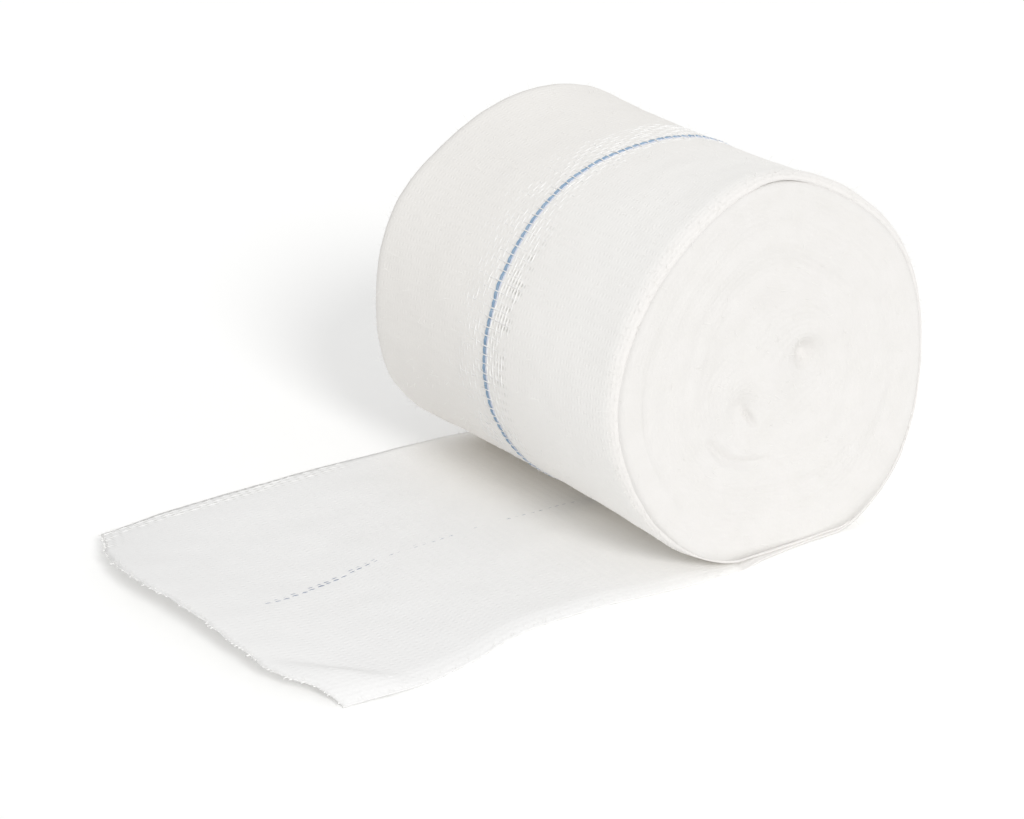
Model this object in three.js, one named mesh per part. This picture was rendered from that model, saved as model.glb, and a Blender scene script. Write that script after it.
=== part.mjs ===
// Gauze bandage roll: one strip of absorbent cotton gauze wound on itself, its outer end laid out flat.
// Millimetres, +Z up. The roll lies on its side with its axis along Y. Its near end faces -Y.
// The loose end runs towards -X. The origin is in the middle of the flat spot that the roll rests on.

import * as THREE from "three";

// Driving sizes of the strip
const STRIP_WIDTH = 75;
const HALF_WIDTH = STRIP_WIDTH / 2;
const CLOTH_THICKNESS = 1.2;
const PIECE_GAP = 0.3;

// The roll
const ROLL_CENTRE_X = -1.5;
const ROLL_CENTRE_Z = 33.5;
const NOMINAL_RADIUS = 33;
const RIM_ROUNDING = 3;
const RIM_STEPS = 3;
const SKIN_ROWS = 9;
const COLUMNS = 72;
const FIRST_COLUMN_ANGLE = -30;

// Distance from the roll's centre to its skin, at three places along the width. The roll is soft:
// it sags to the lower right, and is drawn in at its waist and on its upper left.
// The angle is in degrees from +X towards +Z.
const OUTLINE = [
  { angle: 0, near: 35.4, middle: 34.5, far: 33.8 },
  { angle: 30, near: 34.5, middle: 34.0, far: 34.0 },
  { angle: 60, near: 33.8, middle: 33.3, far: 35.0 },
  { angle: 90, near: 35.0, middle: 30.8, far: 32.8 },
  { angle: 120, near: 32.8, middle: 30.2, far: 31.1 },
  { angle: 150, near: 32.0, middle: 30.6, far: 32.5 },
  { angle: 180, near: 32.5, middle: 32.6, far: 32.9 },
  { angle: 210, near: 32.6, middle: 33.5, far: 34.8 },
  { angle: 240, near: 34.1, middle: 33.0, far: 33.8 },
  { angle: 270, near: 34.0, middle: 34.2, far: 34.2 },
  { angle: 300, near: 37.4, middle: 35.8, far: 35.2 },
  { angle: 330, near: 36.9, middle: 35.4, far: 34.2 },
];

// The main twists that show on each end: a spiral of ridges and grooves around the folded core.
// All depths are measured inwards from the plane of the strip's edge.
const TWISTS = 3;
const TWIST_PITCH = 4.2;
const FIRST_RIDGE_RADIUS = 14.5;
const RIDGE_DEPTH = 0;
const GROOVE_DEPTH = 1;
const FACE_EDGE_DEPTH = 0.4;
const TWIST_FADE_SHARE = 0.2;

// The core: the strip's inner end is folded into an S with an eye on each side of its middle bar.
const CORE_RINGS = [2.5, 5, 7.6, 10.2, 13.2];
const CORE_DEPTH = 1.2;
const CORE_RIM_DEPTH = 1.8;
const EYE_RADIUS = 2.6;
const EYES = [
  { name: "upper right", x: 8.4, z: 3.2, depth: 3.2 },
  { name: "lower left", x: -5.6, z: -4.4, depth: 2 },
];
const BAR = { angle: 118, length: 10, width: 4.5, height: 0.9 };

// The loose end, a row for each station along its length. Front and back are the places of its two
// edges along Y, and the lifts are how far its underside stands off the table there.
const STATIONS = [
  { x: -9.5, front: -39.4, back: 38.3, liftFront: 0, liftMiddle: 0, liftBack: 0 },
  { x: -22, front: -38.5, back: 38.5, liftFront: 0, liftMiddle: 0.1, liftBack: 0.2 },
  { x: -36, front: -36.3, back: 38.7, liftFront: 0, liftMiddle: 0.4, liftBack: 0.5 },
  { x: -52, front: -36.3, back: 38.8, liftFront: 0, liftMiddle: 0.3, liftBack: 0.8 },
  { x: -65, front: -40.1, back: 37.8, liftFront: 0, liftMiddle: 0.9, liftBack: 1.3 },
  { x: -78, front: -41.9, back: 36.6, liftFront: 0, liftMiddle: 2.5, liftBack: 1.6 },
  { x: -90, front: -40.8, back: 35, liftFront: 0, liftMiddle: 4.4, liftBack: 1.6 },
];
const INNER_EDGE_X = -12;
const LENGTH_STEPS = 34;
const ACROSS_STEPS = 18;
const LIP_THICKNESS = 0.3;

// The cut edge bows out towards its back corner, and its middle curls up off the table. Across is
// the share of the width from the front.
const CUT_EDGE = [
  { across: 0, reach: -2.2 },
  { across: 0.07, reach: -0.3 },
  { across: 0.12, reach: 2.3 },
  { across: 0.18, reach: 4 },
  { across: 0.32, reach: 4.8 },
  { across: 0.5, reach: 5.9 },
  { across: 0.72, reach: 7.6 },
  { across: 0.86, reach: 5.8 },
  { across: 1, reach: 2.1 },
];
const CUT_EDGE_NOTCH = 0.4;
const CUT_EDGE_NOTCHES = 7;

// Soft creases of the loose end: a low ridge each, along the given direction, which falls over one
// width towards the front and over the other towards the back.
const CREASES = [
  { name: "corner fold", x: -84, y: -34, angle: -40, length: 8, front: 4.5, back: 0.9, height: 1 },
  { name: "middle swell", x: -58, y: -8, angle: 75, length: 20, front: 7, back: 7, height: 0.7 },
  { name: "back swell", x: -44, y: 24, angle: 100, length: 14, front: 6, back: 6, height: 0.6 },
];

const UNDERSIDE_HALVINGS = 20;
const TURN = Math.PI * 2;
const radians = THREE.MathUtils.degToRad;

// A smooth curve through four equally spaced values, at share t between the middle two.
function throughFour(before, from, to, after, t) {
  const slopeFrom = (to - before) / 2;
  const slopeTo = (after - from) / 2;
  const t2 = t * t;
  const t3 = t2 * t;
  const fromPart = (2 * t3 - 3 * t2 + 1) * from + (t3 - 2 * t2 + t) * slopeFrom;
  const toPart = (3 * t2 - 2 * t3) * to + (t3 - t2) * slopeTo;
  return fromPart + toPart;
}

// The value of one column of a table of rows at a place along its key column, with ends held.
function along(rows, key, column, place) {
  const rising = rows[rows.length - 1][key] > rows[0][key];
  let i = 0;
  while (i < rows.length - 2 && rising === rows[i + 1][key] < place) {
    i += 1;
  }
  const span = rows[i + 1][key] - rows[i][key];
  const t = THREE.MathUtils.clamp((place - rows[i][key]) / span, 0, 1);
  const before = rows[Math.max(i - 1, 0)][column];
  const after = rows[Math.min(i + 2, rows.length - 1)][column];
  return throughFour(before, rows[i][column], rows[i + 1][column], after, t);
}

// A smooth curve across three values at -1, 0 and 1.
function acrossThree(first, middle, last, t) {
  return (first * t * (t - 1)) / 2 + middle * (1 - t * t) + (last * t * (t + 1)) / 2;
}

// Distance from the roll's centre to its skin at an angle and a place along Y.
function skinRadius(angle, y) {
  const steps = (((angle % TURN) + TURN) % TURN) / (TURN / OUTLINE.length);
  const i = Math.floor(steps);
  const row = (offset) => OUTLINE[(i + offset + OUTLINE.length) % OUTLINE.length];
  const column = (name) =>
    throughFour(row(-1)[name], row(0)[name], row(1)[name], row(2)[name], steps - i);
  return acrossThree(column("near"), column("middle"), column("far"), y / HALF_WIDTH);
}

// A point of the roll. What would lie under the table is pressed flat on it.
function rollPoint(angle, radius, y) {
  const x = ROLL_CENTRE_X + radius * Math.cos(angle);
  const z = ROLL_CENTRE_Z + radius * Math.sin(angle);
  return new THREE.Vector3(x, y, Math.max(z, 0));
}

// Height of the roll's underside over the table at a place left of the flat spot.
function undersideHeight(x, y) {
  let low = Math.PI;
  let high = 1.5 * Math.PI;
  for (let i = 0; i < UNDERSIDE_HALVINGS; i += 1) {
    const angle = (low + high) / 2;
    if (rollPoint(angle, skinRadius(angle, y), y).x < x) {
      low = angle;
    } else {
      high = angle;
    }
  }
  return rollPoint(low, skinRadius(low, y), y).z;
}

// How far a soft ridge or dent reaches at a distance of one width.
function softFall(distance, width) {
  return Math.exp(-((distance / width) ** 2));
}

// Depth of the core below the plane of the strip's edge. Radius and angle are from its middle.
function coreDepth(radius, angle) {
  const x = radius * Math.cos(angle);
  const z = radius * Math.sin(angle);
  const outermost = CORE_RINGS[CORE_RINGS.length - 1];
  let depth = THREE.MathUtils.lerp(CORE_DEPTH, CORE_RIM_DEPTH, (radius / outermost) ** 4);
  for (const eye of EYES) {
    depth += eye.depth * softFall(Math.hypot(x - eye.x, z - eye.z), EYE_RADIUS);
  }
  const bar = radians(BAR.angle);
  const alongBar = x * Math.cos(bar) + z * Math.sin(bar);
  const offBar = z * Math.cos(bar) - x * Math.sin(bar);
  depth -= BAR.height * softFall(alongBar, BAR.length) * softFall(offBar, BAR.width);
  return depth;
}

// A closed mesh is gathered as points and triangles.
function newShell() {
  return { points: [], triangles: [] };
}

function addPoint(shell, point) {
  shell.points.push(point);
  return shell.points.length - 1;
}

function addTriangle(shell, a, b, c, flip) {
  shell.triangles.push(flip ? [a, c, b] : [a, b, c]);
}

function addQuad(shell, a, b, c, d, flip) {
  addTriangle(shell, a, b, c, flip);
  addTriangle(shell, a, c, d, flip);
}

function geometryOf(shell) {
  const geometry = new THREE.BufferGeometry();
  geometry.setFromPoints(shell.points);
  geometry.setIndex(shell.triangles.flat());
  geometry.computeVertexNormals();
  return geometry;
}

// The columns go round clockwise as seen from the near end, the way the strip is wound outwards.
function columnAngle(k) {
  return radians(FIRST_COLUMN_ANGLE) - (TURN * k) / COLUMNS;
}

function addRing(shell, pointAt) {
  const ring = [];
  for (let k = 0; k < COLUMNS; k += 1) {
    ring.push(addPoint(shell, pointAt(columnAngle(k))));
  }
  return ring;
}

function joinRings(shell, from, to, flip) {
  for (let k = 0; k < COLUMNS; k += 1) {
    const next = (k + 1) % COLUMNS;
    addQuad(shell, from[k], from[next], to[next], to[k], flip);
  }
}

// Depth of the spiral's ridge or groove, which rises softly out of the core and into the rim.
function twistDepth(depth, share) {
  const start = THREE.MathUtils.smoothstep(share, 0, TWIST_FADE_SHARE);
  const end = THREE.MathUtils.smoothstep(1 - share, 0, TWIST_FADE_SHARE);
  const fromCore = THREE.MathUtils.lerp(CORE_RIM_DEPTH, depth, start);
  return THREE.MathUtils.lerp(FACE_EDGE_DEPTH, fromCore, end);
}

// The spiral's ridge has a point for each column of each twist, and its groove lies half a pitch
// further out. The first twist starts and the last one ends on the ray of column 0.
function addSpiral(shell, facePoint) {
  const ridge = [];
  const groove = [];
  const last = TWISTS * COLUMNS;
  for (let k = 0; k <= last; k += 1) {
    const angle = columnAngle(k);
    const radius = FIRST_RIDGE_RADIUS + TWIST_PITCH * (k / COLUMNS);
    const ridgeDepth = twistDepth(RIDGE_DEPTH, k / last);
    ridge.push(addPoint(shell, facePoint(angle, radius, ridgeDepth)));
    if (k <= last - COLUMNS) {
      const grooveDepth = twistDepth(GROOVE_DEPTH, (k + COLUMNS / 2) / last);
      groove.push(addPoint(shell, facePoint(angle, radius + TWIST_PITCH / 2, grooveDepth)));
    }
  }
  return { ridge, groove };
}

function joinSpiral(shell, spiral, innerRing, outerRing, flip) {
  const { ridge, groove } = spiral;
  const last = (TWISTS - 1) * COLUMNS;
  for (let k = 0; k < last; k += 1) {
    addQuad(shell, ridge[k], ridge[k + 1], groove[k + 1], groove[k], flip);
    addQuad(shell, groove[k], groove[k + 1], ridge[k + COLUMNS + 1], ridge[k + COLUMNS], flip);
  }
  // Inside the first twist, with a fan in the column where the spiral steps outwards
  for (let k = 0; k < COLUMNS - 1; k += 1) {
    addQuad(shell, innerRing[k], innerRing[k + 1], ridge[k + 1], ridge[k], flip);
  }
  const innerCorner = ridge[COLUMNS - 1];
  addTriangle(shell, innerCorner, ridge[COLUMNS], groove[0], !flip);
  addTriangle(shell, innerCorner, groove[0], ridge[0], !flip);
  addTriangle(shell, innerCorner, ridge[0], innerRing[0], !flip);
  addTriangle(shell, innerCorner, innerRing[0], innerRing[COLUMNS - 1], !flip);
  // Outside the last twist, with a fan in the first column
  for (let k = 1; k < COLUMNS; k += 1) {
    const next = (k + 1) % COLUMNS;
    addQuad(shell, ridge[last + k], ridge[last + k + 1], outerRing[next], outerRing[k], flip);
  }
  const outerCorner = outerRing[1];
  addTriangle(shell, outerCorner, ridge[last + 1], ridge[last], !flip);
  addTriangle(shell, outerCorner, ridge[last], groove[last], !flip);
  addTriangle(shell, outerCorner, groove[last], ridge[last + COLUMNS], !flip);
  addTriangle(shell, outerCorner, ridge[last + COLUMNS], outerRing[0], !flip);
}

// One end of the roll, at side -1 or 1: the core, the spiral and the start of the rounded rim.
function addEnd(shell, side) {
  const flip = side > 0;
  const edge = side * HALF_WIDTH;
  const facePoint = (angle, radius, depth) => {
    const scaled = (radius / NOMINAL_RADIUS) * skinRadius(angle, edge);
    return rollPoint(angle, scaled, side * (HALF_WIDTH - depth));
  };
  const coreRings = CORE_RINGS.map((radius) =>
    addRing(shell, (angle) => facePoint(angle, radius, coreDepth(radius, angle))),
  );
  const middle = addPoint(shell, facePoint(0, 0, coreDepth(0, 0)));
  for (let k = 0; k < COLUMNS; k += 1) {
    addTriangle(shell, middle, coreRings[0][(k + 1) % COLUMNS], coreRings[0][k], flip);
  }
  for (let i = 1; i < coreRings.length; i += 1) {
    joinRings(shell, coreRings[i - 1], coreRings[i], flip);
  }
  const rimStart = addRing(shell, (angle) =>
    rollPoint(angle, skinRadius(angle, edge) - RIM_ROUNDING, side * (HALF_WIDTH - FACE_EDGE_DEPTH)),
  );
  const spiral = addSpiral(shell, facePoint);
  joinSpiral(shell, spiral, coreRings[coreRings.length - 1], rimStart, flip);
  return rimStart;
}

// The rounded rim of one end, from the face outwards.
function addRim(shell, side) {
  const rings = [];
  for (let i = 1; i <= RIM_STEPS; i += 1) {
    const turn = (Math.PI / 2) * (1 - i / RIM_STEPS);
    const inwards = RIM_ROUNDING * (1 - Math.cos(turn));
    const depth = FACE_EDGE_DEPTH + (RIM_ROUNDING - FACE_EDGE_DEPTH) * (1 - Math.sin(turn));
    const y = side * (HALF_WIDTH - depth);
    rings.push(addRing(shell, (angle) => rollPoint(angle, skinRadius(angle, y) - inwards, y)));
  }
  return rings;
}

function woundRoll() {
  const shell = newShell();
  const nearFace = addEnd(shell, -1);
  const nearRim = addRim(shell, -1);
  const skin = [];
  const skinHalf = HALF_WIDTH - RIM_ROUNDING;
  for (let i = 1; i < SKIN_ROWS; i += 1) {
    const y = THREE.MathUtils.lerp(-skinHalf, skinHalf, i / SKIN_ROWS);
    skin.push(addRing(shell, (angle) => rollPoint(angle, skinRadius(angle, y), y)));
  }
  const farRim = addRim(shell, 1).reverse();
  const farFace = addEnd(shell, 1);
  const rings = [nearFace, ...nearRim, ...skin, ...farRim, farFace];
  for (let i = 1; i < rings.length; i += 1) {
    joinRings(shell, rings[i - 1], rings[i], false);
  }
  return geometryOf(shell);
}

// Height of the creases at a place on the table.
function creaseHeight(x, y) {
  let height = 0;
  for (const crease of CREASES) {
    const direction = radians(crease.angle);
    const alongIt = (x - crease.x) * Math.cos(direction) + (y - crease.y) * Math.sin(direction);
    const offIt = (y - crease.y) * Math.cos(direction) - (x - crease.x) * Math.sin(direction);
    const width = offIt > 0 ? crease.back : crease.front;
    height += crease.height * softFall(alongIt, crease.length) * softFall(offIt, width);
  }
  return height;
}

// The loose end as a sheet with an upper and an under side. Its inner edge thins to a lip tucked in
// under the roll, where the real strip runs on into the roll's outer turn.
function looseEnd() {
  const shell = newShell();
  const farthest = STATIONS[STATIONS.length - 1].x;
  const upper = [];
  const under = [];
  for (let i = 0; i <= LENGTH_STEPS; i += 1) {
    const share = i / LENGTH_STEPS;
    const station = THREE.MathUtils.lerp(INNER_EDGE_X, farthest, share);
    const at = (column) => along(STATIONS, "x", column, station);
    const upperRow = [];
    const underRow = [];
    for (let j = 0; j <= ACROSS_STEPS; j += 1) {
      const across = j / ACROSS_STEPS;
      const notch = CUT_EDGE_NOTCH * Math.sin(TURN * CUT_EDGE_NOTCHES * across);
      const reach = (along(CUT_EDGE, "across", "reach", across) + notch) * share ** 3;
      const x = station - reach;
      const y = THREE.MathUtils.lerp(at("front"), at("back"), across);
      const lift = acrossThree(at("liftFront"), at("liftMiddle"), at("liftBack"), 2 * across - 1);
      const height = Math.max(lift, 0) + creaseHeight(x, y) * share;
      const headroom = undersideHeight(x, y) - PIECE_GAP - height;
      const thickness = THREE.MathUtils.clamp(headroom, LIP_THICKNESS, CLOTH_THICKNESS);
      upperRow.push(addPoint(shell, new THREE.Vector3(x, y, height + thickness)));
      underRow.push(addPoint(shell, new THREE.Vector3(x, y, height)));
    }
    upper.push(upperRow);
    under.push(underRow);
  }
  for (let i = 0; i < LENGTH_STEPS; i += 1) {
    for (let j = 0; j < ACROSS_STEPS; j += 1) {
      addQuad(shell, upper[i][j], upper[i][j + 1], upper[i + 1][j + 1], upper[i + 1][j], false);
      addQuad(shell, under[i][j], under[i][j + 1], under[i + 1][j + 1], under[i + 1][j], true);
    }
    addQuad(shell, upper[i][0], upper[i + 1][0], under[i + 1][0], under[i][0], false);
    const edge = ACROSS_STEPS;
    addQuad(shell, upper[i][edge], upper[i + 1][edge], under[i + 1][edge], under[i][edge], true);
  }
  const end = LENGTH_STEPS;
  for (let j = 0; j < ACROSS_STEPS; j += 1) {
    addQuad(shell, upper[0][j], upper[0][j + 1], under[0][j + 1], under[0][j], true);
    addQuad(shell, upper[end][j], upper[end][j + 1], under[end][j + 1], under[end][j], false);
  }
  return geometryOf(shell);
}

function gauzeMaterial(colour) {
  return new THREE.MeshStandardMaterial({ color: colour, roughness: 0.95, metalness: 0 });
}

const roll = new THREE.Mesh(woundRoll(), gauzeMaterial(0xf4f1ea));
roll.name = "wound_roll";

const tail = new THREE.Mesh(looseEnd(), gauzeMaterial(0xf1f0ec));
tail.name = "loose_end";

const bandage = new THREE.Group();
bandage.add(roll, tail);

export default bandage;
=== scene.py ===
import math
import random

import bmesh
import bpy
from mathutils import Matrix, Vector, noise


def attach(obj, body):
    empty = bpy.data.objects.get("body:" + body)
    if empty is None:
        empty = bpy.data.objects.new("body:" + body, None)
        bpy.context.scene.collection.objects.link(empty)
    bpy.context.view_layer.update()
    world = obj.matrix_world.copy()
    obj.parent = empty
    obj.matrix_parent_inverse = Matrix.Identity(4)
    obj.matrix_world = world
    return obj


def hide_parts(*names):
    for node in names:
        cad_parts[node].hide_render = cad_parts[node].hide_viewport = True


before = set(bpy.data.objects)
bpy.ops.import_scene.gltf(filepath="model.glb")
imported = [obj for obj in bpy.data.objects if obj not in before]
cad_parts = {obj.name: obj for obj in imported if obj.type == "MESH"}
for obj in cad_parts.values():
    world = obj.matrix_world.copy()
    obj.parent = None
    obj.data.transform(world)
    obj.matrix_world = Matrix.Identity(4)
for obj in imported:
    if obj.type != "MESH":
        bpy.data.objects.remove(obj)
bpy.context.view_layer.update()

# The sizes below are in millimetres, and the named angles in degrees.
MM = 0.001

# The camera stands in front and to the left of the roll, a little above it, with a long lens,
# and leans by a degree and a half. The picture is 1024 by 819 pixels.
CAMERA_AIM = (-25.0, 5.2, 19.1)
CAMERA_DISTANCE = 484.2
CAMERA_AZIMUTH = -33.4
CAMERA_ELEVATION = 22.36
CAMERA_LEAN = -1.54
LENS_MM = 96.6


def place_camera():
    azimuth = math.radians(CAMERA_AZIMUTH)
    elevation = math.radians(CAMERA_ELEVATION)
    right = Vector((math.cos(azimuth), math.sin(azimuth), 0))
    back = Vector(
        (
            math.sin(azimuth) * math.cos(elevation),
            -math.cos(azimuth) * math.cos(elevation),
            math.sin(elevation),
        )
    )
    upright = Matrix((right, back.cross(right), back)).transposed()
    leaning = Matrix.Rotation(math.radians(CAMERA_LEAN), 3, back) @ upright
    lens = bpy.data.cameras.new("camera")
    lens.lens = LENS_MM
    lens.sensor_width = 36
    lens.clip_start = 0.01
    camera = bpy.data.objects.new("camera", lens)
    place = Vector(CAMERA_AIM) * MM + back * CAMERA_DISTANCE * MM
    camera.matrix_world = Matrix.Translation(place) @ leaning.to_4x4()
    bpy.context.scene.collection.objects.link(camera)
    bpy.context.scene.camera = camera


place_camera()


# The table top is a plain white sweep, painted and matt. It is lit until it is almost as bright as
# the surroundings, so that the bandage's soft shadows are all that shows on it.
FLOOR_HALF = 2500
FLOOR_DROP = 0.03
FLOOR_GLOW = 0.115


def linear(hex_colour):
    """The linear colour of an sRGB hex value such as F4F1EA."""
    channels = [int(hex_colour[i : i + 2], 16) / 255 for i in (0, 2, 4)]
    return [c / 12.92 if c <= 0.04045 else ((c + 0.055) / 1.055) ** 2.4 for c in channels] + [1]


def add_node(tree, kind, settings=None, **inputs):
    """A node of that kind with its settings, and its inputs given as values or as sockets."""
    node = tree.nodes.new(kind)
    for name, value in (settings or {}).items():
        setattr(node, name, value)
    for name, value in inputs.items():
        key = int(name[1:]) if name[0] == "_" else name.replace("_", " ")
        if isinstance(value, bpy.types.NodeSocket):
            tree.links.new(value, node.inputs[key])
        else:
            node.inputs[key].default_value = value
    return node


def new_material(name):
    """An empty material with its node tree, its shader and that shader's link to the output."""
    material = bpy.data.materials.new(name)
    material.use_nodes = True
    tree = material.node_tree
    tree.nodes.clear()
    shader = add_node(tree, "ShaderNodeBsdfPrincipled")
    add_node(tree, "ShaderNodeOutputMaterial", Surface=shader.outputs["BSDF"])
    return material, tree, shader


def object_of(name, mesh_or_curve, material):
    piece = bpy.data.objects.new(name, mesh_or_curve)
    mesh_or_curve.materials.append(material)
    bpy.context.scene.collection.objects.link(piece)
    return piece


def painted_board():
    """Matt white paint on a board lit from below too, as for a cut-out: it has no gloss, and is
    bright enough to fall out of the picture."""
    material, _, shader = new_material("painted_board")
    shader.inputs["Base Color"].default_value = linear("FBFBFA")
    shader.inputs["Roughness"].default_value = 1.0
    shader.inputs["Specular IOR Level"].default_value = 0.0
    shader.inputs["Emission Color"].default_value = linear("FFFFFF")
    shader.inputs["Emission Strength"].default_value = FLOOR_GLOW
    return material


def lay_floor():
    bm = bmesh.new()
    bmesh.ops.create_grid(bm, x_segments=1, y_segments=1, size=FLOOR_HALF * MM)
    bmesh.ops.translate(bm, vec=(0, 0, -FLOOR_DROP * MM), verts=bm.verts)
    mesh = bpy.data.meshes.new("floor")
    bm.to_mesh(mesh)
    bm.free()
    object_of("floor", mesh, painted_board())


lay_floor()


# Studio light: a white surround that is brightest above and a little brighter at the right, and one
# large soft lamp low in front of the roll's near end, which makes that end the brightest part and
# throws a soft shadow behind the roll.
SURROUND_AROUND = 0.44
SURROUND_GRADIENT = (0.06, 0, 0.4)
KEY_LAMP = dict(azimuth=-12, elevation=31, spread=16, strength=1.36)


def set_lights():
    world = bpy.data.worlds.new("surround")
    world.use_nodes = True
    tree = world.node_tree
    background = tree.nodes["Background"]
    background.inputs["Color"].default_value = linear("FFFFFF")
    direction = add_node(tree, "ShaderNodeTexCoord").outputs["Generated"]
    more = add_node(
        tree, "ShaderNodeVectorMath", {"operation": "DOT_PRODUCT"}, _0=direction, _1=SURROUND_GRADIENT
    )
    strength = add_node(
        tree, "ShaderNodeMath", {"operation": "ADD"}, _0=more.outputs["Value"], _1=SURROUND_AROUND
    )
    tree.links.new(strength.outputs["Value"], background.inputs["Strength"])
    bpy.context.scene.world = world
    lamp = bpy.data.lights.new("key", "SUN")
    lamp.angle = math.radians(KEY_LAMP["spread"])
    lamp.energy = KEY_LAMP["strength"]
    light = bpy.data.objects.new("key", lamp)
    tilt = math.radians(90 - KEY_LAMP["elevation"])
    light.rotation_euler = (tilt, 0, math.radians(KEY_LAMP["azimuth"]))
    bpy.context.scene.collection.objects.link(light)
    bpy.context.scene.view_settings.view_transform = "Standard"


set_lights()


# The wound turns: all of the strip but its outer turn, wound tight around an inner end that was
# folded into an S. It is bleached cotton gauze, and each end shows the edges of about thirty turns.
# The roll is soft: it sags to the lower right, is drawn in at its waist and has a flat spot below.
HALF_WIDTH = 37.5
ROLL_CENTRE_X = -1.5
ROLL_CENTRE_Z = 33.5
# The roll's radius at its near end, its waist and its far end, round from the right and upwards.
OUTLINE = [
    dict(angle=0, near=35.4, middle=34.5, far=33.8),
    dict(angle=30, near=34.5, middle=34.0, far=34.0),
    dict(angle=60, near=33.8, middle=33.3, far=35.0),
    dict(angle=90, near=35.0, middle=30.8, far=32.8),
    dict(angle=120, near=32.8, middle=30.2, far=31.1),
    dict(angle=150, near=32.0, middle=30.6, far=32.5),
    dict(angle=180, near=32.5, middle=32.6, far=32.9),
    dict(angle=210, near=32.6, middle=33.5, far=34.8),
    dict(angle=240, near=34.1, middle=33.0, far=33.8),
    dict(angle=270, near=34.0, middle=34.2, far=34.2),
    dict(angle=300, near=37.4, middle=35.8, far=35.2),
    dict(angle=330, near=36.9, middle=35.4, far=34.2),
]
RIM_ROUNDING = 3.0
FLAT_HALF = HALF_WIDTH - RIM_ROUNDING
# The turns end one ply inside the outline, and two plies inside it below, where the outer turn
# ends over its own beginning.
ONE_PLY_INSET = 0.75
SECOND_PLY_INSET = 0.55
TURNS_FLOOR = 1.15
# The roll's weight presses the near rim square and outwards at the bottom: fully up to so many
# degrees to each side, and less up to where it ends.
PRESSED_RIM = dict(angle=288, fully=28, ends=70)
PRESSED_SQUARE = 0.85
PRESSED_OUT = 0.3
TURNS_COLUMNS = 300
FACE_STEP = 0.3
FACE_RADIUS = 30.0
RIM_ROWS = 8
SKIN_ROWS = 14
TURN_PITCH = 1.05
TURN_GROOVE = 0.05
MAIN_TWIST_PITCH = 4.2
MAIN_TWIST_START = 14.5
MAIN_TWIST_DEPTH = 0.1
FIRST_COLUMN_ANGLE = -30
CORE_RADIUS = 14.0
CORE_DEPTH = 0.7
EYES = [
    dict(name="upper right", x=8.5, z=1.1, width=2.2, depth=2.6),
    dict(name="lower left", x=-4.9, z=-5.2, width=2.6, depth=1.2),
]
# Troughs and, where the depth is negative, ridges along the turns. They show on the near end, and
# the far end repeats them.
ARCS = [
    dict(name="fold below the core", start=-142, end=-88, inner=15.6, outer=15.2, width=0.9, depth=0.9),
    dict(name="fold above the core", start=35, end=122, inner=18.2, outer=16.8, width=1.6, depth=0.6),
    dict(name="swollen turns", start=-78, end=-12, inner=17.6, outer=23.0, width=2.6, depth=-0.5),
    dict(name="proud outer turns", start=168, end=226, inner=28.4, outer=27.6, width=1.5, depth=-0.5),
]
SLIT = dict(x=-3.2, z=-7.0, angle=-62, length=2.2, width=0.5, depth=0.9)
BAR = dict(x=0, z=0, angle=118, length=10, width=4.5, depth=-0.9)
# The ends' two colours, mixed at random, are darker than the outer ply's cloth: painted shade for the
# light lost between the cut edges of the turns.
END_SHADES = ("E1DFDC", "E7E5E3")
TURN = 2 * math.pi


def through_four(before, start, end, after, t):
    """A smooth curve through four equally spaced values, at share t between the middle two."""
    slope_start = (end - before) / 2
    slope_end = (after - start) / 2
    t2 = t * t
    t3 = t2 * t
    start_part = (2 * t3 - 3 * t2 + 1) * start + (t3 - 2 * t2 + t) * slope_start
    return start_part + (3 * t2 - 2 * t3) * end + (t3 - t2) * slope_end


def across_three(first, middle, last, t):
    """A smooth curve across three values at -1, 0 and 1."""
    return first * t * (t - 1) / 2 + middle * (1 - t * t) + last * t * (t + 1) / 2


def fade(value, none, full):
    """A smooth change from 0 where the value is none to 1 where it is full."""
    t = min(max((value - none) / (full - none), 0.0), 1.0)
    return t * t * (3 - 2 * t)


def soft_fall(distance, width):
    return math.exp(-((distance / width) ** 2))


def degrees_from(angle, place):
    """Degrees, up to 180 either way, from a place on the round to an angle in radians."""
    return (math.degrees(angle) - place + 180) % 360 - 180


def uneven(seed, *place, octaves=2):
    """Smooth noise from about -1 to 1 at a place, with its own field for each seed."""
    spot = Vector((*place, 0, 0)[:3]) + Vector((seed * 17.3, seed * 5.1, seed * 9.7))
    return noise.fractal(spot, 0.5, 2.0, octaves)


def skin_radius(angle, y):
    steps = (angle % TURN) / (TURN / len(OUTLINE))
    i = int(steps)
    rows = [OUTLINE[(i + offset) % len(OUTLINE)] for offset in (-1, 0, 1, 2)]
    near, middle, far = (
        through_four(*(row[place] for row in rows), steps - i) for place in ("near", "middle", "far")
    )
    return across_three(near, middle, far, min(max(y / HALF_WIDTH, -1), 1))


def roll_point(angle, radius, y, floor=0.0):
    """A point of the roll in mm, pressed flat where it would lie under the height floor."""
    x = ROLL_CENTRE_X + radius * math.cos(angle)
    z = ROLL_CENTRE_Z + radius * math.sin(angle)
    return Vector((x, y, max(z, floor)))


def winding_share(angle):
    """Share of a turn from the first column, clockwise as seen from the near end."""
    return ((math.radians(FIRST_COLUMN_ANGLE) - angle) % TURN) / TURN


def fold_depth(fold, x, z):
    """Depth of a straight fold at a place on an end of the roll."""
    turned = math.radians(fold["angle"])
    dx = x - fold["x"]
    dz = z - fold["z"]
    along_it = dx * math.cos(turned) + dz * math.sin(turned)
    off_it = dz * math.cos(turned) - dx * math.sin(turned)
    return fold["depth"] * soft_fall(along_it, fold["length"]) * soft_fall(off_it, fold["width"])


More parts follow.
